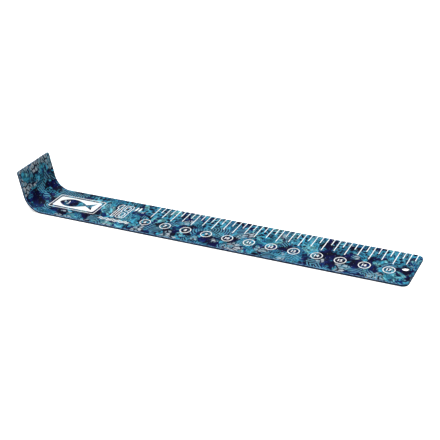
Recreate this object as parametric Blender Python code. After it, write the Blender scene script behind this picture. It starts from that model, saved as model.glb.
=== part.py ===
"""An eighteen inch fish measuring board for a boat or a pier.

The board is one strip of coated aluminium sheet. Its left end is bent up into a stop that leans
outward, and a fish lies on the deck with its nose against the stop. The graduations, the size
numerals, the badge and the wave line are printed on the deck in white. Each print is its own thin
solid, held a hair above the deck.

Units are metres. +X runs along the deck from the stop to the free end, +Y runs across the deck to
the graduated edge, and +Z is up. The origin is at the middle of the whole board, on the plane that
it lies on. The scale's zero lies a hair inside the outermost edge of the stop.
"""

from math import cos, pi, radians, sin

import bmesh
import bpy
from mathutils import Vector

INCH = 0.0254

# The strip
OVERALL_LENGTH = 18 * INCH
BOARD_WIDTH = 0.0595
THICKNESS = 0.0026
RIM_RADIUS = 0.0006
FREE_CORNER_RADIUS = 0.0068
STOP_CORNER_RADIUS = 0.0025

# The stop: the bend's radius is that of the deck side
BEND_RADIUS = 0.0192
BEND_ANGLE = radians(81.6)
STOP_STRAIGHT = 0.0307

# The lanyard hole, near the free end
HOLE_RADIUS = 0.0040
HOLE_FLARE = 0.0004
HOLE_TO_FREE_END = 0.0107

# The graduations, counted in inches from the scale's zero
SCALE_ZERO_INSET = 0.00035
FIRST_INCH = 6
LAST_INCH = 17
MARK_WIDTH = 0.0010
INCH_MARK_LENGTH = 0.0254
HALF_MARK_LENGTH = 0.0218
QUARTER_MARK_LENGTH = 0.0121

# All prints
PRINT_GAP = 0.0003
PRINT_THICKNESS = 0.00015

# The badge, placed by its distance from the scale's zero
BADGE_START = 0.0229
BADGE_LENGTH = 0.0633
BADGE_WIDTH = 0.0290
BADGE_CENTRE_Y = 0.0019
BADGE_FRAME_LINE = 0.0009
BADGE_CORNER_RADIUS = 0.0020
BADGE_PANEL_INSET = 0.0035

# The size numerals and the inch sign beside them
SIZE_START = 0.1039
SIZE_BASE_Y = -0.0098
SIZE_HEIGHT = 0.0288
SIZE_STROKE = 0.0038
SIZE_ONE_WIDTH = 0.0062
SIZE_EIGHT_WIDTH = 0.0118
SIZE_GAP = 0.0019
SIZE_TO_INCH_SIGN = 0.0032
INCH_SIGN_LENGTH = 0.0078
INCH_SIGN_WIDTH = 0.0021
INCH_SIGN_GAP = 0.0021

# The wave line under the size numerals
WAVE_START = 0.0960
WAVE_LENGTH = 0.0400
WAVE_HEIGHT = 0.0016
WAVE_LINE = 0.0011
WAVE_CENTRE_Y = -0.0168
WAVE_COUNT = 5

# How finely the round stretches are cut
CORNER_STEPS = 8
RIM_STEPS = 3
BEND_STEPS = 16
HOLE_STEPS = 32
WAVE_STEPS = 40

DECK_Z = THICKNESS
STOP_END_X = -OVERALL_LENGTH / 2
ZERO_X = STOP_END_X + SCALE_ZERO_INSET
FREE_END_X = OVERALL_LENGTH / 2
OUTER_RADIUS = BEND_RADIUS + THICKNESS

# The stop's rounded outer rim is the outermost point of the board, so the bend starts this far in.
RIM_SAVING = RIM_RADIUS * (sin(BEND_ANGLE) + cos(BEND_ANGLE) - 1)
STOP_REACH = OUTER_RADIUS * sin(BEND_ANGLE) + STOP_STRAIGHT * cos(BEND_ANGLE)
BEND_START_X = STOP_END_X + STOP_REACH - RIM_SAVING
BEND_CENTRE_Z = DECK_Z + BEND_RADIUS
BEND_LENGTH = BEND_RADIUS * BEND_ANGLE


def clear_scene():
    for scene_object in list(bpy.data.objects):
        bpy.data.objects.remove(scene_object, do_unlink=True)


def make_material(name, colour, roughness, metallic):
    material = bpy.data.materials.new(name)
    material.use_nodes = True
    shader = material.node_tree.nodes["Principled BSDF"]
    shader.inputs["Base Color"].default_value = (*colour, 1.0)
    shader.inputs["Roughness"].default_value = roughness
    shader.inputs["Metallic"].default_value = metallic
    material.diffuse_color = (*colour, 1.0)
    return material


def add_object(name, bm, material):
    """Turns a bmesh into a named object with one material."""
    bmesh.ops.recalc_face_normals(bm, faces=bm.faces)
    mesh = bpy.data.meshes.new(name)
    bm.to_mesh(mesh)
    bm.free()
    mesh.materials.append(material)
    new_object = bpy.data.objects.new(name, mesh)
    bpy.context.scene.collection.objects.link(new_object)
    return new_object


def arc(centre, radius, start, end, steps):
    """Points on an arc in a plane, both ends included."""
    points = []
    for step in range(steps + 1):
        angle = start + (end - start) * step / steps
        points.append((centre[0] + radius * cos(angle), centre[1] + radius * sin(angle)))
    return points


def rounded_rectangle(low, high, radii, steps):
    """An outline that runs anticlockwise from the low X, low Y corner.

    The radii are those of the two corners at low X and of the two corners at high X.
    """
    left, right = radii
    outline = []
    outline += arc((low[0] + left, low[1] + left), left, pi, 1.5 * pi, steps)
    outline += arc((high[0] - right, low[1] + right), right, 1.5 * pi, 2 * pi, steps)
    outline += arc((high[0] - right, high[1] - right), right, 0, 0.5 * pi, steps)
    outline += arc((low[0] + left, high[1] - left), left, 0.5 * pi, pi, steps)
    return outline


def extrude_outline(outline, bottom, top):
    """A bmesh plate: the outline filled at the bottom and extruded to the top."""
    bm = bmesh.new()
    corners = [bm.verts.new((x, y, bottom)) for x, y in outline]
    floor = bm.faces.new(corners)
    result = bmesh.ops.extrude_face_region(bm, geom=[floor])
    lifted = [item for item in result["geom"] if isinstance(item, bmesh.types.BMVert)]
    bmesh.ops.translate(bm, verts=lifted, vec=(0, 0, top - bottom))
    return bm


def bent(point):
    """Maps a point of the flat blank to its place on the bent board.

    The blank's X is measured along the deck side of the strip. Left of the bend's start the strip
    follows the bend, and past the bend it runs straight up the stop.
    """
    past_start = BEND_START_X - point.x
    if past_start <= 0:
        return point.copy()
    angle = min(past_start / BEND_RADIUS, BEND_ANGLE)
    straight = max(past_start - BEND_LENGTH, 0)
    radius = BEND_CENTRE_Z - point.z
    x = BEND_START_X - radius * sin(angle) - straight * cos(angle)
    z = BEND_CENTRE_Z - radius * cos(angle) + straight * sin(angle)
    return Vector((x, point.y, z))


def wrap_round_bend(bm):
    """Cuts a flat blank across at every step of the bend, then bends it."""
    for step in range(BEND_STEPS + 1):
        cut_x = BEND_START_X - BEND_LENGTH * step / BEND_STEPS
        everything = bm.verts[:] + bm.edges[:] + bm.faces[:]
        bmesh.ops.bisect_plane(bm, geom=everything, plane_co=(cut_x, 0, 0), plane_no=(1, 0, 0))
    for vert in bm.verts:
        vert.co = bent(vert.co)


def add_hole_cutter(material):
    """A turned cutter for the lanyard hole, flared where it meets both faces of the deck."""
    flare_radius = HOLE_RADIUS + HOLE_FLARE + THICKNESS
    profile = [
        (0, -THICKNESS),
        (flare_radius, -THICKNESS),
        (HOLE_RADIUS, HOLE_FLARE),
        (HOLE_RADIUS, THICKNESS - HOLE_FLARE),
        (flare_radius, 2 * THICKNESS),
        (0, 2 * THICKNESS),
    ]
    bm = bmesh.new()
    verts = [bm.verts.new((radius, 0, z)) for radius, z in profile]
    edges = [bm.edges.new(pair) for pair in zip(verts, verts[1:])]
    bmesh.ops.spin(
        bm, geom=verts + edges, cent=(0, 0, 0), axis=(0, 0, 1), angle=2 * pi, steps=HOLE_STEPS
    )
    bmesh.ops.remove_doubles(bm, verts=bm.verts, dist=1e-6)
    cutter = add_object("lanyard_hole_cutter", bm, material)
    cutter.location = (FREE_END_X - HOLE_TO_FREE_END, 0, 0)
    cutter.hide_render = True
    cutter.display_type = "WIRE"
    return cutter


def add_board():
    """The coated strip: a flat blank with round corners and rims, bent at its left end."""
    coating = make_material("camouflage_coating", (0.055, 0.135, 0.205), 0.32, 0.0)
    blank_left = BEND_START_X - BEND_LENGTH - STOP_STRAIGHT
    outline = rounded_rectangle(
        (blank_left, -BOARD_WIDTH / 2),
        (FREE_END_X, BOARD_WIDTH / 2),
        (STOP_CORNER_RADIUS, FREE_CORNER_RADIUS),
        CORNER_STEPS,
    )
    bm = extrude_outline(outline, 0, THICKNESS)
    rims = [edge for edge in bm.edges if abs(edge.verts[0].co.z - edge.verts[1].co.z) < 1e-6]
    bmesh.ops.bevel(
        bm,
        geom=rims,
        offset=RIM_RADIUS,
        offset_type="OFFSET",
        segments=RIM_STEPS,
        profile=0.5,
        affect="EDGES",
    )
    wrap_round_bend(bm)
    board = add_object("board", bm, coating)
    board.data.shade_smooth()
    board.data.set_sharp_from_angle(angle=radians(25))
    hole = board.modifiers.new("lanyard_hole", "BOOLEAN")
    hole.operation = "DIFFERENCE"
    hole.solver = "EXACT"
    hole.object = add_hole_cutter(coating)
    return board


def print_levels():
    """The heights of the underside and the top of every print."""
    bottom = DECK_Z + PRINT_GAP
    return bottom, bottom + PRINT_THICKNESS


def add_print(name, outline, ink):
    bottom, top = print_levels()
    return add_object(name, extrude_outline(outline, bottom, top), ink)


def add_graduations():
    """A line at every quarter inch, all starting where the graduated edge begins to round."""
    inch_ink = make_material("inch_mark_ink", (0.86, 0.88, 0.88), 0.45, 0.0)
    half_ink = make_material("half_inch_mark_ink", (0.85, 0.87, 0.87), 0.45, 0.0)
    quarter_ink = make_material("quarter_inch_mark_ink", (0.84, 0.86, 0.86), 0.45, 0.0)
    kinds = (
        ("inch_mark", INCH_MARK_LENGTH, inch_ink),
        ("first_quarter_mark", QUARTER_MARK_LENGTH, quarter_ink),
        ("half_inch_mark", HALF_MARK_LENGTH, half_ink),
        ("third_quarter_mark", QUARTER_MARK_LENGTH, quarter_ink),
    )
    far_y = BOARD_WIDTH / 2 - RIM_RADIUS
    for inch in range(FIRST_INCH, LAST_INCH + 1):
        for quarter, (name, length, ink) in enumerate(kinds):
            x = ZERO_X + (inch + quarter / 4) * INCH
            low = (x - MARK_WIDTH / 2, far_y - length)
            high = (x + MARK_WIDTH / 2, far_y)
            outline = [low, (high[0], low[1]), high, (low[0], high[1])]
            add_print(f"{name}_{inch:02d}", outline, ink)


def ring_plate(outer, inner):
    """A bmesh plate between two outlines that have the same number of points."""
    bottom, top = print_levels()
    bm = bmesh.new()
    loops = []
    for outline, z in ((outer, bottom), (outer, top), (inner, top), (inner, bottom)):
        loops.append([bm.verts.new((x, y, z)) for x, y in outline])
    count = len(outer)
    for loop, next_loop in zip(loops, loops[1:] + loops[:1]):
        for index in range(count):
            following = (index + 1) % count
            bm.faces.new((loop[index], loop[following], next_loop[following], next_loop[index]))
    return bm


def inset_rectangle(inset, corner_radius):
    """The badge's outline, drawn in by a margin."""
    half_width = BADGE_WIDTH / 2 - inset
    low = (ZERO_X + BADGE_START + inset, BADGE_CENTRE_Y - half_width)
    high = (ZERO_X + BADGE_START + BADGE_LENGTH - inset, BADGE_CENTRE_Y + half_width)
    return rounded_rectangle(low, high, (corner_radius, corner_radius), CORNER_STEPS)


def add_badge():
    """A thin frame around a solid panel. The frame's left end climbs the start of the bend."""
    ink = make_material("badge_ink", (0.87, 0.89, 0.90), 0.42, 0.0)
    outer = inset_rectangle(0, BADGE_CORNER_RADIUS)
    inner = inset_rectangle(BADGE_FRAME_LINE, BADGE_CORNER_RADIUS - BADGE_FRAME_LINE)
    frame = ring_plate(outer, inner)
    wrap_round_bend(frame)
    add_object("badge_frame", frame, ink)
    add_print("badge_panel", inset_rectangle(BADGE_PANEL_INSET, BADGE_CORNER_RADIUS), ink)


def add_size_sign():
    """The size, eighteen inches: a one, an eight and the two strokes of the inch sign."""
    ink = make_material("size_ink", (0.88, 0.89, 0.89), 0.44, 0.0)
    one_left = ZERO_X + SIZE_START
    one_right = one_left + SIZE_ONE_WIDTH
    stem_left = one_right - SIZE_STROKE
    top_y = SIZE_BASE_Y + SIZE_HEIGHT
    flag = SIZE_ONE_WIDTH - SIZE_STROKE
    one = [
        (stem_left, SIZE_BASE_Y),
        (one_right, SIZE_BASE_Y),
        (one_right, top_y),
        (stem_left, top_y),
        (one_left, top_y - flag),
        (one_left, top_y - flag - SIZE_STROKE),
        (stem_left, top_y - SIZE_STROKE),
    ]
    add_print("size_digit_one", one, ink)
    eight_left = one_right + SIZE_GAP
    add_object("size_digit_eight", digit_eight(eight_left), ink)
    sign_left = eight_left + SIZE_EIGHT_WIDTH + SIZE_TO_INCH_SIGN
    for index, side in enumerate(("left", "right")):
        low_x = sign_left + index * (INCH_SIGN_WIDTH + INCH_SIGN_GAP)
        high_x = low_x + INCH_SIGN_WIDTH
        low_y = top_y - INCH_SIGN_LENGTH
        outline = [(low_x, low_y), (high_x, low_y), (high_x, top_y), (low_x, top_y)]
        add_print(f"inch_sign_{side}", outline, ink)


def digit_eight(left):
    """A squared eight as a grid of cells, with its two windows left open."""
    bottom, top = print_levels()
    right = left + SIZE_EIGHT_WIDTH
    columns = [left, left + SIZE_STROKE, right - SIZE_STROKE, right]
    window = (SIZE_HEIGHT - 3 * SIZE_STROKE) / 2
    rows = [SIZE_BASE_Y]
    for height in (SIZE_STROKE, window, SIZE_STROKE, window, SIZE_STROKE):
        rows.append(rows[-1] + height)
    bm = bmesh.new()
    grid = [[bm.verts.new((x, y, bottom)) for x in columns] for y in rows]
    cells = []
    for row in range(len(rows) - 1):
        for column in range(len(columns) - 1):
            is_window = column == 1 and row in (1, 3)
            if is_window:
                continue
            low_pair = grid[row][column : column + 2]
            high_pair = grid[row + 1][column : column + 2]
            cells.append(bm.faces.new(low_pair + high_pair[::-1]))
    result = bmesh.ops.extrude_face_region(bm, geom=cells)
    lifted = [item for item in result["geom"] if isinstance(item, bmesh.types.BMVert)]
    bmesh.ops.translate(bm, verts=lifted, vec=(0, 0, top - bottom))
    return bm


def add_wave_line():
    """A plain row of waves where a name could stand."""
    ink = make_material("wave_ink", (0.84, 0.87, 0.88), 0.45, 0.0)
    upper = []
    lower = []
    for step in range(WAVE_STEPS + 1):
        share = step / WAVE_STEPS
        x = ZERO_X + WAVE_START + WAVE_LENGTH * share
        y = WAVE_CENTRE_Y + WAVE_HEIGHT / 2 * sin(2 * pi * WAVE_COUNT * share)
        upper.append((x, y + WAVE_LINE / 2))
        lower.append((x, y - WAVE_LINE / 2))
    add_print("wave_line", lower + upper[::-1], ink)


def main():
    clear_scene()
    add_board()
    add_graduations()
    add_badge()
    add_size_sign()
    add_wave_line()


main()
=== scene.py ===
"""The looks of an eighteen inch fish measuring board: camouflage coating, white print, studio.

Lengths are metres. The board is drawn as a flat blank, whose X runs along the deck, and is then
bent as the CAD board is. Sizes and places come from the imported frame.
"""

from math import cos, pi, radians, sin

import bmesh
import bpy
from mathutils import Matrix, Vector


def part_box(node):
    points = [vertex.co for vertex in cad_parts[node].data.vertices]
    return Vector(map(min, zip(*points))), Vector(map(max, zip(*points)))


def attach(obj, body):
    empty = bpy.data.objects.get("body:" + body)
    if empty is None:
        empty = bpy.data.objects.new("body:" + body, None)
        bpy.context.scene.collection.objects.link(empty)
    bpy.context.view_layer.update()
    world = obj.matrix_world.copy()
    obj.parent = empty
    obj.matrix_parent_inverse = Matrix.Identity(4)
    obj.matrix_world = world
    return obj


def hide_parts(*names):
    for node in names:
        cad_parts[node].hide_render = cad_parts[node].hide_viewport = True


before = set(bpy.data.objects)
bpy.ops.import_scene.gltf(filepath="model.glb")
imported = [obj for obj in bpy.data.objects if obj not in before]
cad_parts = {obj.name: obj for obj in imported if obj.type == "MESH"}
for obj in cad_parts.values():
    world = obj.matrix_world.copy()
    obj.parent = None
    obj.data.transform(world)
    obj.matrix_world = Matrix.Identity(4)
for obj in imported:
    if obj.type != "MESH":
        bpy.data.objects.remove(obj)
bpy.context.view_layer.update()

BOARD_LOW, BOARD_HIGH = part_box("board")
MILLIMETRE = 0.001

# The strip, as the CAD has it
THICKNESS = 0.0026
RIM_RADIUS = 0.0006
FREE_CORNER_RADIUS = 0.0068
STOP_CORNER_RADIUS = 0.0025
BEND_RADIUS = 0.0192
BEND_ANGLE = radians(81.6)
HOLE_RADIUS = 0.0040
HOLE_RIM_RADIUS = 0.0004
HOLE_TO_FREE_END = 0.0107

# Steps on round stretches
CORNER_STEPS = 20
RIM_STEPS = 6
BEND_STEPS = 56
HOLE_STEPS = 64
RING_STEPS = 72
EYE_STEPS = 20
GILL_STEPS = 16
PANEL_CORNER_STEPS = 8
WINDOW_CORNER_STEPS = 6
SMALL_CORNER_STEPS = 4

# White print
PRINT_THICKNESS = 0.00004
FIRST_INCH = 6
LAST_INCH = 17

# The marks: their corners, as a share of their width, and how far round the rim they run
MARK_CORNER_SHARE = 0.2
RIM_WRAP = 1.3

# The ringed numerals
RING_CENTRE_Y = -0.0083
RING_RADIUS = 0.00592
RING_LINE = 0.0010
NUMERAL_HEIGHT = 0.0045
NUMERAL_BOLDNESS = 0.035

# The badge: a border, and a panel with a fish left open in it
BORDER_LINE = 0.0009
BORDER_CORNER_RADIUS = 0.0020
PANEL_CORNER_RADIUS = 0.0024
FISH_LENGTH_SHARE = 0.84
FISH_HEIGHT_SHARE = 0.74
EYE_FROM_NOSE = 0.0062
EYE_RISE = 0.0016
EYE_RADIUS = 0.0012
GILL_CENTRE_FROM_NOSE = 0.0070
GILL_OUTER_RADIUS = 0.0060
GILL_INNER_RADIUS = 0.0050
GILL_HALF_ANGLE = 0.8

# The size sign. The one's flag is given by how far its corners lie below the top.
SIGN_LINE = 0.0009
SIGN_STROKE = 0.0038
ONE_FLAG_START = 0.0045
ONE_FLAG_TIP_END = 0.0080
ONE_FLAG_END = 0.0095
EIGHT_CORNER_RADIUS = 0.0030
EIGHT_NICK = 0.0012
EIGHT_WINDOW_CORNER_RADIUS = 0.0016
INCH_SIGN_CORNER_RADIUS = 0.0005

# The wave lines
WAVE_COUNT = 5
WAVE_STEPS = 120
WAVE_ROW_OFFSET = 0.0013
WAVE_REACH = 0.0008
WAVE_LINE = 0.0012

WIDTH = BOARD_HIGH.y - BOARD_LOW.y
STOP_END_X = BOARD_LOW.x
FREE_END_X = BOARD_HIGH.x
DECK_Z = BOARD_LOW.z + THICKNESS
BEND_CENTRE_Z = DECK_Z + BEND_RADIUS
BEND_LENGTH = BEND_RADIUS * BEND_ANGLE
# What the stop's rounded top rim takes off the height and the length
RIM_SAVING = RIM_RADIUS * (sin(BEND_ANGLE) + cos(BEND_ANGLE) - 1)
BEND_RISE = THICKNESS + BEND_RADIUS * (1 - cos(BEND_ANGLE))
STOP_STRAIGHT = (BOARD_HIGH.z - BOARD_LOW.z + RIM_SAVING - BEND_RISE) / sin(BEND_ANGLE)
STOP_REACH = (BEND_RADIUS + THICKNESS) * sin(BEND_ANGLE) + STOP_STRAIGHT * cos(BEND_ANGLE)
BEND_START_X = STOP_END_X + STOP_REACH - RIM_SAVING
RIM_START_Y = BOARD_HIGH.y - RIM_RADIUS


# ---------------------------------------------------------------- flat shapes and the bend


def arc(centre, radius, start, end, steps):
    points = []
    for step in range(steps + 1):
        angle = start + (end - start) * step / steps
        points.append((centre[0] + radius * cos(angle), centre[1] + radius * sin(angle)))
    return points


def circle(centre, radius, steps):
    return arc(centre, radius, 0, 2 * pi, steps)[:-1]


def rounded_rectangle(low, high, left, right, steps):
    """An anticlockwise outline with one corner radius at low X and one at high X."""
    outline = []
    outline += arc((low[0] + left, low[1] + left), left, pi, 1.5 * pi, steps)
    outline += arc((high[0] - right, low[1] + right), right, 1.5 * pi, 2 * pi, steps)
    outline += arc((high[0] - right, high[1] - right), right, 0, 0.5 * pi, steps)
    outline += arc((low[0] + left, high[1] - left), left, 0.5 * pi, pi, steps)
    return outline


def add_plate(bm, outlines, bottom, top):
    """Fills the first outline, leaves the others open as holes, and gives it thickness."""
    edges = []
    for outline in outlines:
        verts = [bm.verts.new((x, y, bottom)) for x, y in outline]
        edges += [bm.edges.new(pair) for pair in zip(verts, verts[1:] + verts[:1])]
    filled = bmesh.ops.triangle_fill(bm, edges=edges, use_beauty=True, normal=(0, 0, 1))
    faces = [item for item in filled["geom"] if isinstance(item, bmesh.types.BMFace)]
    result = bmesh.ops.extrude_face_region(bm, geom=faces)
    lifted = [item for item in result["geom"] if isinstance(item, bmesh.types.BMVert)]
    bmesh.ops.translate(bm, verts=lifted, vec=(0, 0, top - bottom))


def bent(point):
    """A point of the flat blank, taken to its place on the bent board."""
    past_start = BEND_START_X - point.x
    if past_start <= 0:
        return point.copy()
    angle = min(past_start / BEND_RADIUS, BEND_ANGLE)
    straight = max(past_start - BEND_LENGTH, 0)
    radius = BEND_CENTRE_Z - point.z
    x = BEND_START_X - radius * sin(angle) - straight * cos(angle)
    z = BEND_CENTRE_Z - radius * cos(angle) + straight * sin(angle)
    return Vector((x, point.y, z))


def finish_piece(name, bm, material, slot, *nodes):
    """Bends a blank, remembers where each point lay on it, and puts it in place of CAD nodes."""
    for step in range(BEND_STEPS + 1):
        cut_x = BEND_START_X - BEND_LENGTH * step / BEND_STEPS
        everything = bm.verts[:] + bm.edges[:] + bm.faces[:]
        bmesh.ops.bisect_plane(bm, geom=everything, plane_co=(cut_x, 0, 0), plane_no=(1, 0, 0))
    bmesh.ops.recalc_face_normals(bm, faces=bm.faces)
    layer = bm.verts.layers.float_vector.new("blank")
    for vert in bm.verts:
        vert[layer] = vert.co / MILLIMETRE
        vert.co = bent(vert.co)
    mesh = bpy.data.meshes.new(name)
    bm.to_mesh(mesh)
    bm.free()
    mesh.materials.append(material)
    mesh.shade_smooth()
    piece = bpy.data.objects.new(name, mesh)
    bpy.context.scene.collection.objects.link(piece)
    flat = piece.modifiers.new("even_normals", "WEIGHTED_NORMAL")
    flat.weight = 100
    flat.keep_sharp = True
    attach(piece, "root")
    if nodes:
        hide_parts(*nodes)


# ---------------------------------------------------------------- material building blocks


class Graph:
    """A short way to write a material's nodes."""

    def __init__(self, name):
        self.material = bpy.data.materials.new(name)
        self.material.use_nodes = True
        self.tree = self.material.node_tree
        self.shader = self.tree.nodes["Principled BSDF"]

    def add(self, kind, inputs=None, **settings):
        node = self.tree.nodes.new(kind)
        for key, value in settings.items():
            setattr(node, key, value)
        for key, value in (inputs or {}).items():
            self.put(node.inputs[key], value)
        return node

    def put(self, socket, value):
        if isinstance(value, bpy.types.NodeSocket):
            self.tree.links.new(value, socket)
        else:
            socket.default_value = value

    def math(self, operation, first, second=0.0, third=0.0):
        node = self.add("ShaderNodeMath", {0: first, 1: second, 2: third}, operation=operation)
        return node.outputs[0]

    def product(self, first, second):
        return self.math("MULTIPLY", first, second)

    def sum(self, first, second):
        return self.math("ADD", first, second)

    def vector(self, operation, first, second):
        node = self.add("ShaderNodeVectorMath", {0: first, 1: second}, operation=operation)
        return node.outputs[0]

    def scaled(self, vector, factor):
        node = self.add("ShaderNodeVectorMath", {0: vector, "Scale": factor}, operation="SCALE")
        return node.outputs[0]

    def noise(self, vector, size, detail=2.0, roughness=0.5, output="Fac"):
        inputs = {"Vector": vector, "Scale": 1 / size, "Detail": detail, "Roughness": roughness}
        return self.add("ShaderNodeTexNoise", inputs).outputs[output]

    def noise_at(self, vector, offset, size, detail=2.0, roughness=0.5):
        """Noise from another part of the endless field, so that layers don't follow each other."""
        return self.noise(self.vector("ADD", vector, offset), size, detail, roughness)

    def shift(self, vector, size, reach):
        """A soft random displacement, for bending a pattern."""
        centred = self.vector("SUBTRACT", self.noise(vector, size, output="Color"), (0.5, 0.5, 0.5))
        return self.scaled(centred, reach)

    def cells(self, vector, size, randomness, feature):
        """Distances in a flat pattern of cells, in cell sizes."""
        inputs = {"Vector": vector, "Scale": 1 / size, "Randomness": randomness}
        node = self.add("ShaderNodeTexVoronoi", inputs, voronoi_dimensions="2D", feature=feature)
        return node.outputs["Distance"]

    def step(self, value, low, high):
        """0 below low, 1 above high, smooth between."""
        inputs = {"Value": value, "From Min": low, "From Max": high}
        node = self.add("ShaderNodeMapRange", inputs, interpolation_type="SMOOTHSTEP")
        return node.outputs["Result"]

    def span(self, value, low, high):
        """Takes 0 to 1 onto low to high."""
        inputs = {"Value": value, "To Min": low, "To Max": high}
        return self.add("ShaderNodeMapRange", inputs).outputs["Result"]

    def mix(self, factor, first, second, blend="MIX"):
        node = self.add("ShaderNodeMix", data_type="RGBA", blend_type=blend)
        self.put(node.inputs[0], factor)
        self.put(node.inputs[6], first)
        self.put(node.inputs[7], second)
        return node.outputs[2]

    def ramp(self, value, stops):
        """Runs through the colours at their positions."""
        node = self.add("ShaderNodeValToRGB", {"Fac": value})
        elements = node.color_ramp.elements
        while len(elements) < len(stops):
            elements.new(0.5)
        for element, (position, colour) in zip(elements, stops):
            element.position = position
            element.color = colour
        return node.outputs["Color"]

    def bump(self, height, strength, distance):
        inputs = {"Height": height, "Strength": strength, "Distance": distance}
        return self.add("ShaderNodeBump", inputs).outputs["Normal"]

    def surface(self, **inputs):
        for key, value in inputs.items():
            self.put(self.shader.inputs[key.replace("_", " ")], value)


def linear(red, green, blue):
    """A colour as seen on a screen, 0 to 255, as the linear values that shaders take."""
    channels = []
    for value in (red, green, blue):
        share = value / 255
        is_dark = share <= 0.04045
        channels.append(share / 12.92 if is_dark else ((share + 0.055) / 1.055) ** 2.4)
    return (*channels, 1.0)


# ---------------------------------------------------------------- the two finishes


BLACK_BLUE = linear(4, 3, 38)
NAVY = linear(9, 12, 70)
DEEP_BLUE = linear(14, 42, 104)
DARK_TEAL = linear(12, 64, 94)
TEAL = linear(42, 116, 142)
CYAN = linear(68, 168, 200)
SKY = linear(128, 208, 222)
SEA_GREEN = linear(92, 152, 150)
GREY_TEAL = linear(112, 146, 160)
PALE_GREY = linear(176, 184, 192)
# Painted highlight colour for the plain edge's rim, also used for a faint rub on the other rims.
HIGHLIGHT_AND_RUB_BLUE = linear(150, 206, 255)

# The camouflage's sizes and places are millimetres on the flat blank.
# The pattern is endless. This moves the part of it that is wanted onto the board.
PATTERN_SHIFT = (650, -200, -52)
# The coating stretches over the rims, so depth counts for more than it measures.
DEPTH_STRETCH = 3.0
# Flat patterns run on down the sides, sheared by the depth.
DEPTH_SHEAR = 1.5

# The zone round the bend, where the pattern is darkened as painted shade, comes in between the first
# two and goes between the last two.
DARK_ZONE_START_X = -184
DARK_ZONE_FULL_X = -202
DARK_ZONE_FADE_X = -222
STOP_ZONE_FULL_X = -236
# Spots stay clear of the stop and the bend.
SPOTS_FADE_X = -170
SPOTS_GONE_X = -190
# Scales gather by the plain edge, spots by the graduated one.
SCALES_START_Y = -12
SCALES_FULL_Y = -18
SPOTS_START_Y = -5
SPOTS_FULL_Y = 12
# Painted shade and the painted rim highlight by the plain edge come in between these distances from
# it.
PLAIN_EDGE_START_INSET = 0.8
PLAIN_EDGE_FULL_INSET = 0.2

# How big the parts of the pattern are
PATCH_SIZE = 31
ISLAND_SIZE = 11
TONE_SIZE = 13
MOTTLE_SIZE = 4.6
SCALE_SIZE = 4.4
SCALE_SQUEEZE = (0.6, 1.0, 1.0)
WHORL_SPACING = 44
WHORL_RING_WIDTH = 2.9
NET_SIZE = 2.8
SPOT_SPACING = 5.2
SPECK_SIZE = 2.0
# Size of the breaks in the painted rim highlight and rub
HIGHLIGHT_AND_RUB_NOISE_SIZE = 3.0
SCRATCH_WIDTH = 0.35
SCRATCH_STRETCH = (0.05, 1.0, 1.0)
GLOSS_PATCH_SIZE = 9
PEEL_SIZE = 0.9

# How strongly the round bend darkens the ground, as painted shade, and draws or clears the details
BEND_PAINTED_SHADE = -0.15
BEND_NET = 0.09
BEND_SCALES = -0.2


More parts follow.
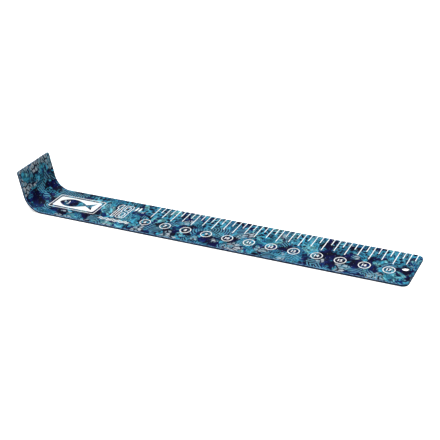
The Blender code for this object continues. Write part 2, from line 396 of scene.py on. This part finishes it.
class Camouflage(Graph):
    """A printed water camouflage: flowing patches, with scales, spots, ripples and net in them."""

    def __init__(self, name):
        super().__init__(name)
        blank = self.add("ShaderNodeAttribute", attribute_name="blank").outputs["Vector"]
        self.rim = self.add("ShaderNodeAttribute", attribute_name="rim").outputs["Fac"]
        self.axes = self.add("ShaderNodeSeparateXYZ", {0: blank}).outputs
        along = self.axes["X"]
        stretched = self.vector("MULTIPLY", blank, (1.0, 1.0, DEPTH_STRETCH))
        self.place = self.vector("ADD", stretched, PATTERN_SHIFT)
        sheared_y = self.math("MULTIPLY_ADD", self.axes["Z"], DEPTH_SHEAR, self.axes["Y"])
        sheet = self.add("ShaderNodeCombineXYZ", {"X": along, "Y": sheared_y}).outputs[0]
        self.sheet = self.vector("ADD", sheet, PATTERN_SHIFT)
        self.drift = self.shift(self.place, 8, 6)
        wide_drift = self.shift(self.place, 28, 34)
        self.flow = self.vector("ADD", self.vector("ADD", self.place, wide_drift), self.drift)
        self.fine_sheet = self.vector("ADD", self.sheet, self.drift)
        self.on_stop = self.step(along, DARK_ZONE_FADE_X, STOP_ZONE_FULL_X)
        before_stop = self.step(along, STOP_ZONE_FULL_X, DARK_ZONE_FADE_X)
        past_start = self.step(along, DARK_ZONE_START_X, DARK_ZONE_FULL_X)
        self.round_bend = self.product(past_start, before_stop)

    def ground(self):
        """Flowing light and dark patches with islands in them, and where the light ones are."""
        patches = self.noise(self.flow, PATCH_SIZE, roughness=0.4)
        # Painted shade: more dark patches round the bend, where it turns from the light.
        patches = self.math("MULTIPLY_ADD", self.round_bend, BEND_PAINTED_SHADE, patches)
        is_light = self.step(patches, 0.526, 0.532)
        islands = self.noise_at(self.flow, (-80, 130, 0), ISLAND_SIZE, detail=3)
        tone = self.noise_at(self.flow, (210, 40, 0), TONE_SIZE, detail=3)
        light_stops = [
            (0.34, TEAL),
            (0.45, CYAN),
            (0.52, TEAL),
            (0.57, SKY),
            (0.62, SEA_GREEN),
            (0.70, GREY_TEAL),
        ]
        light = self.ramp(tone, light_stops)
        light = self.mix(self.step(islands, 0.61, 0.62), light, NAVY)
        light = self.mix(self.step(islands, 0.42, 0.41), light, DEEP_BLUE)
        dark_stops = [(0.42, BLACK_BLUE), (0.54, NAVY), (0.63, DEEP_BLUE), (0.72, DARK_TEAL)]
        dark = self.ramp(tone, dark_stops)
        dark = self.mix(self.step(islands, 0.64, 0.65), dark, CYAN)
        dark = self.mix(self.step(islands, 0.36, 0.35), dark, TEAL)
        return self.mix(is_light, dark, light), is_light

    def with_mottle(self, colour):
        """Uneven, brushed shading."""
        mottle = self.noise_at(self.flow, (15, 15, 0), MOTTLE_SIZE, detail=3, roughness=0.6)
        shade = self.span(self.step(mottle, 0.46, 0.54), 0.40, 1.06)
        grey = self.add("ShaderNodeCombineColor", {0: shade, 1: shade, 2: shade}).outputs[0]
        return self.mix(1.0, colour, grey, "MULTIPLY")

    def with_scales(self, colour):
        """Pale scales with dark joints, mostly by the plain edge and on the stop."""
        squeezed = self.vector("MULTIPLY", self.fine_sheet, SCALE_SQUEEZE)
        joints = self.cells(squeezed, SCALE_SIZE, 0.75, "DISTANCE_TO_EDGE")
        by_edge = self.step(self.axes["Y"], SCALES_START_Y, SCALES_FULL_Y)
        field = self.noise_at(self.place, (-160, 25, 0), 20, detail=1)
        field = self.sum(field, self.span(by_edge, -0.14, -0.02))
        field = self.math("MULTIPLY_ADD", self.on_stop, 0.12, field)
        field = self.math("MULTIPLY_ADD", self.round_bend, BEND_SCALES, field)
        tone = self.mix(self.step(self.noise(self.place, 5), 0.4, 0.6), GREY_TEAL, PALE_GREY)
        scales = self.mix(self.step(joints, 0.10, 0.16), BLACK_BLUE, tone)
        return self.mix(self.step(field, 0.52, 0.535), colour, scales)

    def with_whorls(self, colour, is_light):
        """Rings around scattered centres, like ripples."""
        drifted = self.vector("ADD", self.sheet, self.scaled(self.drift, 0.5))
        distance = self.cells(drifted, WHORL_SPACING, 0.9, "F1")
        turns = self.product(distance, WHORL_SPACING / WHORL_RING_WIDTH * 2 * pi)
        rings = self.step(self.math("SINE", turns), 0.0, 0.5)
        patch = self.step(self.noise_at(self.place, (330, 90, 0), 20, detail=1), 0.535, 0.545)
        pale = self.mix(self.noise(self.place, 9), CYAN, GREY_TEAL)
        tone = self.mix(is_light, pale, NAVY)
        return self.mix(self.product(self.product(rings, patch), 0.85), colour, tone)

    def with_net(self, colour):
        """A fine net over some patches, mostly round the bend."""
        net = self.step(self.cells(self.fine_sheet, NET_SIZE, 0.3, "DISTANCE_TO_EDGE"), 0.14, 0.08)
        field = self.noise_at(self.place, (75, 260, 0), 18, detail=1)
        field = self.math("MULTIPLY_ADD", self.round_bend, BEND_NET, field)
        patch = self.step(field, 0.57, 0.585)
        return self.mix(self.product(self.product(net, patch), 0.6), colour, CYAN)

    def with_spots(self, colour):
        """Dark spots on paler ground, mostly by the graduated edge."""
        spots = self.step(self.cells(self.fine_sheet, SPOT_SPACING, 0.6, "F1"), 0.38, 0.33)
        by_edge = self.step(self.axes["Y"], SPOTS_START_Y, SPOTS_FULL_Y)
        by_bend = self.step(self.axes["X"], SPOTS_FADE_X, SPOTS_GONE_X)
        field = self.noise_at(self.place, (50, -70, 0), 22, detail=1)
        field = self.sum(field, self.span(by_edge, -0.12, 0.03))
        field = self.math("MULTIPLY_ADD", by_bend, -0.2, field)
        spotted = self.mix(spots, self.mix(0.35, colour, CYAN), BLACK_BLUE)
        return self.mix(self.step(field, 0.55, 0.56), colour, spotted)

    def with_specks(self, colour):
        speck = self.step(self.noise(self.place, SPECK_SIZE), 0.67, 0.70)
        return self.mix(self.product(speck, 0.6), colour, PALE_GREY)

    def with_wear(self, colour):
        """Painted shade on all rims and the plain edge's side, a painted highlight on the plain
        edge's rim with faint rub elsewhere, and its mask.
        """
        edge_y = WIDTH / 2 / MILLIMETRE
        plain_edge = self.step(self.axes["Y"], PLAIN_EDGE_START_INSET - edge_y, PLAIN_EDGE_FULL_INSET - edge_y)
        # Painted shade: the rims and the plain edge's side are darkened towards navy.
        painted_edge_shade = self.math("MAXIMUM", plain_edge, self.rim)
        colour = self.mix(self.product(painted_edge_shade, 0.70), colour, NAVY)
        # Painted highlight along the plain edge's rim, broken by noise, with a faint rub on the
        # other rims.
        highlight_and_rub_reach = self.product(self.rim, self.span(plain_edge, 0.1, 1.0))
        uneven = self.step(self.noise(self.place, HIGHLIGHT_AND_RUB_NOISE_SIZE, detail=4), 0.46, 0.56)
        highlight_and_rub = self.product(highlight_and_rub_reach, self.span(uneven, 0.35, 1.0))
        return self.mix(highlight_and_rub, colour, HIGHLIGHT_AND_RUB_BLUE), highlight_and_rub

    def scratches(self):
        """Fine scratches along the deck."""
        drifted = self.vector("ADD", self.place, self.scaled(self.drift, 0.3))
        drawn_out = self.vector("MULTIPLY", drifted, SCRATCH_STRETCH)
        return self.step(self.noise(drawn_out, SCRATCH_WIDTH, detail=3), 0.66, 0.72)


def camouflage_material():
    """The coating's colour, with painted shade and a painted highlight at its edges and painted
    shade in the bend, gloss and fine relief.
    """
    g = Camouflage("camouflage_coating")
    colour, is_light = g.ground()
    colour = g.with_mottle(colour)
    colour = g.with_scales(colour)
    colour = g.with_whorls(colour, is_light)
    colour = g.with_net(colour)
    colour = g.with_spots(colour)
    colour = g.with_specks(colour)
    colour, highlight_and_rub = g.with_wear(colour)
    scratches = g.scratches()
    roughness = g.span(g.noise(g.place, GLOSS_PATCH_SIZE, detail=4), 0.26, 0.40)
    roughness = g.sum(roughness, g.product(scratches, 0.12))
    roughness = g.sum(roughness, g.product(highlight_and_rub, 0.15))
    relief = g.product(g.noise(g.place, PEEL_SIZE), 0.6)
    relief = g.sum(relief, g.product(scratches, -0.4))
    relief = g.sum(relief, g.product(is_light, 0.15))
    g.surface(Base_Color=colour, Roughness=roughness, Normal=g.bump(relief, 0.12, 0.0001))
    g.shader.inputs["Specular IOR Level"].default_value = 0.17
    return g.material


INK = (0.95, 0.96, 0.96, 1.0)
WORN_INK = (0.46, 0.62, 0.66, 1.0)


def ink_material():
    """Opaque white printing ink, a little thin in places, with a faint grain."""
    g = Graph("white_ink")
    place = g.add("ShaderNodeAttribute", attribute_name="blank").outputs["Vector"]
    thin = g.step(g.noise(place, 7, detail=4, roughness=0.6), 0.50, 0.72)
    grain = g.noise(place, 0.5, detail=3)
    flecks = g.step(grain, 0.60, 0.75)
    colour = g.mix(g.product(thin, 0.35), INK, WORN_INK)
    colour = g.mix(g.product(flecks, 0.25), colour, WORN_INK)
    roughness = g.span(grain, 0.38, 0.62)
    g.surface(Base_Color=colour, Roughness=roughness, Normal=g.bump(grain, 0.15, 0.00005))
    g.shader.inputs["Specular IOR Level"].default_value = 0.35
    return g.material


# ---------------------------------------------------------------- the board


def is_rim_edge(edge):
    """A level edge with a sharp turn between its faces."""
    level = abs(edge.verts[0].co.z - edge.verts[1].co.z) < 1e-7
    return level and edge.calc_face_angle(0) > 1


def near_hole(edge, hole_x):
    middle = (edge.verts[0].co + edge.verts[1].co) / 2
    return (middle.xy - Vector((hole_x, 0))).length < 2 * HOLE_RADIUS


def round_rims(bm, edges, radius):
    bmesh.ops.bevel(
        bm,
        geom=edges,
        offset=radius,
        offset_type="OFFSET",
        segments=RIM_STEPS,
        profile=0.5,
        affect="EDGES",
    )


def mark_rims(bm):
    """Stores how far round a rim each point lies: 0 on the faces and the side, 1 half way."""
    layer = bm.verts.layers.float.new("rim")
    for vert in bm.verts:
        depth = min(vert.co.z - BOARD_LOW.z, DECK_Z - vert.co.z)
        share = min(max(depth / RIM_RADIUS, 0), 1)
        vert[layer] = 4 * share * (1 - share)


def make_board(material):
    hole_x = FREE_END_X - HOLE_TO_FREE_END
    blank_left = BEND_START_X - BEND_LENGTH - STOP_STRAIGHT
    outline = rounded_rectangle(
        (blank_left, -WIDTH / 2),
        (FREE_END_X, WIDTH / 2),
        STOP_CORNER_RADIUS,
        FREE_CORNER_RADIUS,
        CORNER_STEPS,
    )
    hole = circle((hole_x, 0), HOLE_RADIUS, HOLE_STEPS)
    bm = bmesh.new()
    add_plate(bm, [outline, hole], BOARD_LOW.z, DECK_Z)
    rims = [edge for edge in bm.edges if is_rim_edge(edge)]
    hole_rims = [edge for edge in rims if near_hole(edge, hole_x)]
    outer_rims = [edge for edge in rims if not near_hole(edge, hole_x)]
    round_rims(bm, outer_rims, RIM_RADIUS)
    round_rims(bm, hole_rims, HOLE_RIM_RADIUS)
    mark_rims(bm)
    finish_piece("camouflaged_board", bm, material, "camouflage_coating", "board")


# ---------------------------------------------------------------- the print


def print_plate(bm, *outlines):
    add_plate(bm, outlines, DECK_Z, DECK_Z + PRINT_THICKNESS)


def nodes_named(start):
    return sorted(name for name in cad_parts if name.startswith(start))


def wrap_over_rim(bm):
    """Takes what lies past the graduated edge's rim line down around the rim."""
    for step in range(RIM_STEPS):
        cut_y = RIM_START_Y + RIM_WRAP * RIM_RADIUS * step / RIM_STEPS
        everything = bm.verts[:] + bm.edges[:] + bm.faces[:]
        bmesh.ops.bisect_plane(bm, geom=everything, plane_co=(0, cut_y, 0), plane_no=(0, 1, 0))
    for vert in bm.verts:
        angle = (vert.co.y - RIM_START_Y) / RIM_RADIUS
        if angle > 0:
            radius = RIM_RADIUS + vert.co.z - DECK_Z
            vert.co.y = RIM_START_Y + radius * sin(angle)
            vert.co.z = DECK_Z - RIM_RADIUS + radius * cos(angle)


def make_marks(name, node_start, material):
    """Rounded bars in the places of a group of CAD marks, run out over the rounded rim."""
    nodes = nodes_named(node_start)
    bm = bmesh.new()
    far_y = RIM_START_Y + RIM_WRAP * RIM_RADIUS
    for node in nodes:
        low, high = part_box(node)
        radius = (high.x - low.x) * MARK_CORNER_SHARE
        outline = rounded_rectangle(low.xy, (high.x, far_y), radius, radius, SMALL_CORNER_STEPS)
        print_plate(bm, outline)
    wrap_over_rim(bm)
    finish_piece(name, bm, material, "white_print", *nodes)


def inch_x(inch):
    low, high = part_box(f"inch_mark_{inch:02d}")
    return (low.x + high.x) / 2


def make_rings(material):
    bm = bmesh.new()
    for inch in range(FIRST_INCH, LAST_INCH + 1):
        centre = (inch_x(inch), RING_CENTRE_Y)
        outer = circle(centre, RING_RADIUS + RING_LINE / 2, RING_STEPS)
        inner = circle(centre, RING_RADIUS - RING_LINE / 2, RING_STEPS)
        print_plate(bm, outer, inner)
    finish_piece("inch_rings", bm, material, "white_print")


def text_mesh(text, centre, height):
    """The text as a flat mesh on the deck, centred on a point."""
    curve = bpy.data.curves.new("numeral", "FONT")
    curve.body = text
    curve.size = 1.0
    curve.offset = NUMERAL_BOLDNESS
    curve.resolution_u = 6
    letters = bpy.data.objects.new("numeral", curve)
    bpy.context.scene.collection.objects.link(letters)
    bpy.context.view_layer.update()
    evaluated = letters.evaluated_get(bpy.context.evaluated_depsgraph_get())
    flat = bpy.data.meshes.new_from_object(evaluated)
    bpy.data.objects.remove(letters)
    bpy.data.curves.remove(curve)
    xs = [vert.co.x for vert in flat.vertices]
    ys = [vert.co.y for vert in flat.vertices]
    scale = height / (max(ys) - min(ys))
    middle = Vector(((min(xs) + max(xs)) / 2, (min(ys) + max(ys)) / 2, 0))
    shift = Matrix.Translation((centre[0], centre[1], DECK_Z))
    flat.transform(shift @ Matrix.Scale(scale, 4) @ Matrix.Translation(-middle))
    return flat


def print_mesh(bm, flat):
    """Adds a flat mesh to the print, gives it the print's thickness and deletes it."""
    part = bmesh.new()
    part.from_mesh(flat)
    bmesh.ops.remove_doubles(part, verts=part.verts, dist=1e-7)
    result = bmesh.ops.extrude_face_region(part, geom=part.faces[:])
    lifted = [item for item in result["geom"] if isinstance(item, bmesh.types.BMVert)]
    bmesh.ops.translate(part, verts=lifted, vec=(0, 0, PRINT_THICKNESS))
    solid = bpy.data.meshes.new("solid")
    part.to_mesh(solid)
    part.free()
    bm.from_mesh(solid)
    bpy.data.meshes.remove(solid)
    bpy.data.meshes.remove(flat)


def make_numerals(material):
    bm = bmesh.new()
    for inch in range(FIRST_INCH, LAST_INCH + 1):
        centre = (inch_x(inch), RING_CENTRE_Y)
        print_mesh(bm, text_mesh(str(inch), centre, NUMERAL_HEIGHT))
    finish_piece("inch_numerals", bm, material, "white_print")


def make_badge_frame(material):
    low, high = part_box("badge_frame")
    radius = BORDER_CORNER_RADIUS
    inner_radius = radius - BORDER_LINE
    inset = Vector((BORDER_LINE, BORDER_LINE))
    inner_low = low.xy + inset
    inner_high = high.xy - inset
    steps = PANEL_CORNER_STEPS
    outline = rounded_rectangle(low.xy, high.xy, radius, radius, steps)
    inner = rounded_rectangle(inner_low, inner_high, inner_radius, inner_radius, steps)
    bm = bmesh.new()
    print_plate(bm, outline, inner)
    finish_piece("badge_border", bm, material, "white_print", "badge_frame")


def fish_outline(centre, length, height, steps=40):
    """A plain fish, nose at low X: a tapered body and a forked tail."""
    body_share = 0.76
    tail_notch_share = 0.93
    body_end = height * 0.07
    tail_root = height * 0.08
    tail_tip = height * 0.48
    nose_x = centre[0] - length / 2
    upper = []
    for step in range(1, steps):
        share = step / steps
        thick = height / 2 * sin(pi * share ** 0.8) ** 0.9 + body_end * share
        upper.append((nose_x + length * body_share * share, centre[1] + thick))
    root_x = nose_x + length * body_share
    tail = [
        (root_x, centre[1] + tail_root),
        (nose_x + length, centre[1] + tail_tip),
        (nose_x + length * tail_notch_share, centre[1]),
        (nose_x + length, centre[1] - tail_tip),
        (root_x, centre[1] - tail_root),
    ]
    lower = [(x, 2 * centre[1] - y) for x, y in reversed(upper)]
    return [(nose_x, centre[1])] + upper + tail + lower


def make_badge_panel(material):
    """A white panel with a fish left open in it, and the fish's eye and gill printed again."""
    low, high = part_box("badge_panel")
    middle = (low + high) / 2
    size = high - low
    radius = PANEL_CORNER_RADIUS
    panel = rounded_rectangle(low.xy, high.xy, radius, radius, PANEL_CORNER_STEPS)
    fish = fish_outline(middle.xy, size.x * FISH_LENGTH_SHARE, size.y * FISH_HEIGHT_SHARE)
    bm = bmesh.new()
    print_plate(bm, panel, fish)
    nose_x = middle.x - size.x * FISH_LENGTH_SHARE / 2
    eye_centre = (nose_x + EYE_FROM_NOSE, middle.y + EYE_RISE)
    print_plate(bm, circle(eye_centre, EYE_RADIUS, EYE_STEPS))
    gill_centre = (nose_x + GILL_CENTRE_FROM_NOSE, middle.y)
    turn = GILL_HALF_ANGLE
    outer = arc(gill_centre, GILL_OUTER_RADIUS, -turn, turn, GILL_STEPS)
    inner = arc(gill_centre, GILL_INNER_RADIUS, turn, -turn, GILL_STEPS)
    print_plate(bm, outer + inner)
    finish_piece("badge_fish_panel", bm, material, "white_print", "badge_panel")


def path_stroke(points, width):
    """A closed outline around an open path, cut square at its ends."""
    left = []
    right = []
    for index, point in enumerate(points):
        before = Vector(points[max(index - 1, 0)])
        after = Vector(points[min(index + 1, len(points) - 1)])
        along = (after - before).normalized()
        across = Vector((-along.y, along.x)) * width / 2
        left.append(tuple(Vector(point) + across))
        right.append(tuple(Vector(point) - across))
    return right + left[::-1]


def inset_outline(outline, distance):
    """An anticlockwise outline, moved inwards."""
    moved = []
    for index, point in enumerate(outline):
        here = Vector(point)
        arriving = (here - Vector(outline[index - 1])).normalized()
        leaving = (Vector(outline[(index + 1) % len(outline)]) - here).normalized()
        first = Vector((-arriving.y, arriving.x))
        second = Vector((-leaving.y, leaving.x))
        moved.append(tuple(here + (first + second) * distance / (1 + first.dot(second))))
    return moved


def print_line_inside(bm, outline):
    print_plate(bm, outline, inset_outline(outline, SIGN_LINE))


def digit_one_outline(low, high):
    """A straight stem with a slanted flag."""
    stem_x = high.x - SIGN_STROKE
    return [
        (stem_x, low.y),
        (high.x, low.y),
        (high.x, high.y),
        (stem_x, high.y),
        (low.x, high.y - ONE_FLAG_START),
        (low.x, high.y - ONE_FLAG_TIP_END),
        (stem_x, high.y - ONE_FLAG_END),
    ]


def digit_eight_outline(low, high):
    """A rounded box with a nick in each side at half height."""
    corner = EIGHT_CORNER_RADIUS
    nick = EIGHT_NICK
    middle_y = (low.y + high.y) / 2
    box = rounded_rectangle(low, high, corner, corner, PANEL_CORNER_STEPS)
    half = len(box) // 2
    right = [(high.x, middle_y - nick), (high.x - nick, middle_y), (high.x, middle_y + nick)]
    left = [(low.x, middle_y + nick), (low.x + nick, middle_y), (low.x, middle_y - nick)]
    return box[:half] + right + box[half:] + left


def make_size_sign(material):
    """The size, eighteen inches, as numerals drawn in outline."""
    bm = bmesh.new()
    low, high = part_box("size_digit_one")
    print_line_inside(bm, digit_one_outline(low, high))
    low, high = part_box("size_digit_eight")
    print_line_inside(bm, digit_eight_outline(low, high))
    middle_y = (low.y + high.y) / 2
    waist = SIGN_STROKE / 2
    inset = SIGN_STROKE - SIGN_LINE
    radius = EIGHT_WINDOW_CORNER_RADIUS
    windows = (
        ((low.x + inset, low.y + inset), (high.x - inset, middle_y - waist)),
        ((low.x + inset, middle_y + waist), (high.x - inset, high.y - inset)),
    )
    for window in windows:
        print_line_inside(bm, rounded_rectangle(*window, radius, radius, WINDOW_CORNER_STEPS))
    radius = INCH_SIGN_CORNER_RADIUS
    inch_signs = ("inch_sign_left", "inch_sign_right")
    for node in inch_signs:
        low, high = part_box(node)
        print_plate(bm, rounded_rectangle(low.xy, high.xy, radius, radius, SMALL_CORNER_STEPS))
    nodes = ("size_digit_one", "size_digit_eight", *inch_signs)
    finish_piece("size_sign", bm, material, "white_print", *nodes)


def make_wave_lines(material):
    low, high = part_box("wave_line")
    centre_y = (low.y + high.y) / 2
    bm = bmesh.new()
    for row in (-1, 1):
        row_y = centre_y + row * WAVE_ROW_OFFSET
        points = []
        for step in range(WAVE_STEPS + 1):
            share = step / WAVE_STEPS
            wave = WAVE_REACH * sin(2 * pi * WAVE_COUNT * share)
            points.append((low.x + (high.x - low.x) * share, row_y + wave))
        print_plate(bm, path_stroke(points, WAVE_LINE))
    finish_piece("wave_lines", bm, material, "white_print", "wave_line")


# ---------------------------------------------------------------- studio


FLOOR_HALF_SIZE = 8.0
FLOOR_GAP = 0.0002
FLOOR_COLOUR = (0.90, 0.90, 0.90, 1.0)
FLOOR_GLOW = 0.62
BACKDROP_RADIUS = 7.5
BACKDROP_HEIGHT = 8.0
BLACK = (0.0, 0.0, 0.0, 1.0)
WHITE = (1.0, 1.0, 1.0, 1.0)
OVERHEAD_ENERGY = 2.5
OVERHEAD_SPREAD = radians(60)
OVERHEAD_COLOUR = (1.0, 0.99, 0.97)
OVERHEAD_TILT = (radians(6), radians(17), 0)
ROOM_COLOUR = (0.92, 0.96, 1.0, 1.0)
# The room is dim up to the first height on the unit sphere, and bright from the second.
ROOM_DIM_HEIGHT = 0.55
ROOM_BRIGHT_HEIGHT = 0.95
ROOM_DIM = 0.09
ROOM_BRIGHT = 1.10

CAMERA_PLACE = Vector((0.4393, -0.7791, 0.4955))
CAMERA_YAW = radians(28.63)
CAMERA_PITCH = radians(28.27)
CAMERA_ROLL = radians(-3.89)
CAMERA_LENS = 77.32
SENSOR_WIDTH = 36


def glowing_material(name, colour, strength):
    """A matt colour that also gives off white light."""
    g = Graph(name)
    g.shader.inputs["Base Color"].default_value = colour
    g.shader.inputs["Roughness"].default_value = 0.9
    g.shader.inputs["Specular IOR Level"].default_value = 0.0
    g.shader.inputs["Emission Color"].default_value = WHITE
    g.shader.inputs["Emission Strength"].default_value = strength
    return g.material


def stage_object(name, bm, material):
    """A piece of the studio that the board neither reflects nor is lit by."""
    mesh = bpy.data.meshes.new(name)
    bm.to_mesh(mesh)
    bm.free()
    mesh.materials.append(material)
    scenery = bpy.data.objects.new(name, mesh)
    bpy.context.scene.collection.objects.link(scenery)
    scenery.visible_glossy = False
    scenery.visible_diffuse = False
    return scenery


def make_floor():
    bm = bmesh.new()
    bmesh.ops.create_grid(bm, x_segments=8, y_segments=8, size=FLOOR_HALF_SIZE)
    bmesh.ops.translate(bm, verts=bm.verts, vec=(0, 0, BOARD_LOW.z - FLOOR_GAP))
    material = glowing_material("pale_floor", FLOOR_COLOUR, FLOOR_GLOW)
    stage_object("studio_floor", bm, material)


def make_backdrop():
    """A white wall round the floor. It neither lights nor shades the board."""
    bm = bmesh.new()
    bmesh.ops.create_cone(
        bm,
        segments=96,
        radius1=BACKDROP_RADIUS,
        radius2=BACKDROP_RADIUS,
        depth=BACKDROP_HEIGHT,
    )
    material = glowing_material("white_backdrop", BLACK, 1.0)
    backdrop = stage_object("studio_backdrop", bm, material)
    backdrop.visible_transmission = False
    backdrop.visible_shadow = False


def make_light():
    """A room that is brighter overhead, and one very wide overhead light."""
    world = bpy.data.worlds.new("studio")
    bpy.context.scene.world = world
    world.use_nodes = True
    tree = world.node_tree
    background = tree.nodes["Background"]
    background.inputs["Color"].default_value = ROOM_COLOUR
    direction = tree.nodes.new("ShaderNodeTexCoord")
    height = tree.nodes.new("ShaderNodeSeparateXYZ")
    strength = tree.nodes.new("ShaderNodeMapRange")
    strength.inputs["From Min"].default_value = ROOM_DIM_HEIGHT
    strength.inputs["From Max"].default_value = ROOM_BRIGHT_HEIGHT
    strength.inputs["To Min"].default_value = ROOM_DIM
    strength.inputs["To Max"].default_value = ROOM_BRIGHT
    tree.links.new(direction.outputs["Generated"], height.inputs[0])
    tree.links.new(height.outputs["Z"], strength.inputs["Value"])
    tree.links.new(strength.outputs["Result"], background.inputs["Strength"])
    lamp = bpy.data.lights.new("overhead", "SUN")
    lamp.energy = OVERHEAD_ENERGY
    lamp.angle = OVERHEAD_SPREAD
    lamp.color = OVERHEAD_COLOUR
    overhead = bpy.data.objects.new("overhead", lamp)
    overhead.rotation_euler = OVERHEAD_TILT
    bpy.context.scene.collection.objects.link(overhead)
    settings = bpy.context.scene.view_settings
    settings.view_transform = "Standard"
    settings.look = "None"


def make_camera():
    """Looks at the board from its near right, above the deck, with a slight roll."""
    level = Vector((-sin(CAMERA_YAW), cos(CAMERA_YAW), 0))
    forward = cos(CAMERA_PITCH) * level - sin(CAMERA_PITCH) * Vector((0, 0, 1))
    right = Vector((cos(CAMERA_YAW), sin(CAMERA_YAW), 0))
    up = right.cross(forward)
    rolled_right = cos(CAMERA_ROLL) * right + sin(CAMERA_ROLL) * up
    rolled_up = cos(CAMERA_ROLL) * up - sin(CAMERA_ROLL) * right
    data = bpy.data.cameras.new("camera")
    data.sensor_width = SENSOR_WIDTH
    data.lens = CAMERA_LENS
    data.clip_start = 0.01
    data.clip_end = 100
    camera = bpy.data.objects.new("camera", data)
    bpy.context.scene.collection.objects.link(camera)
    axes = Matrix((rolled_right, rolled_up, -forward)).transposed()
    camera.matrix_world = Matrix.Translation(CAMERA_PLACE) @ axes.to_4x4()
    bpy.context.scene.camera = camera


def main():
    make_camera()
    make_light()
    make_floor()
    make_backdrop()
    make_board(camouflage_material())
    ink = ink_material()
    make_marks("inch_marks", "inch_mark", ink)
    make_marks("half_inch_marks", "half_inch_mark", ink)
    make_marks("first_quarter_marks", "first_quarter_mark", ink)
    make_marks("third_quarter_marks", "third_quarter_mark", ink)
    make_rings(ink)
    make_numerals(ink)
    make_badge_frame(ink)
    make_badge_panel(ink)
    make_size_sign(ink)
    make_wave_lines(ink)


main()
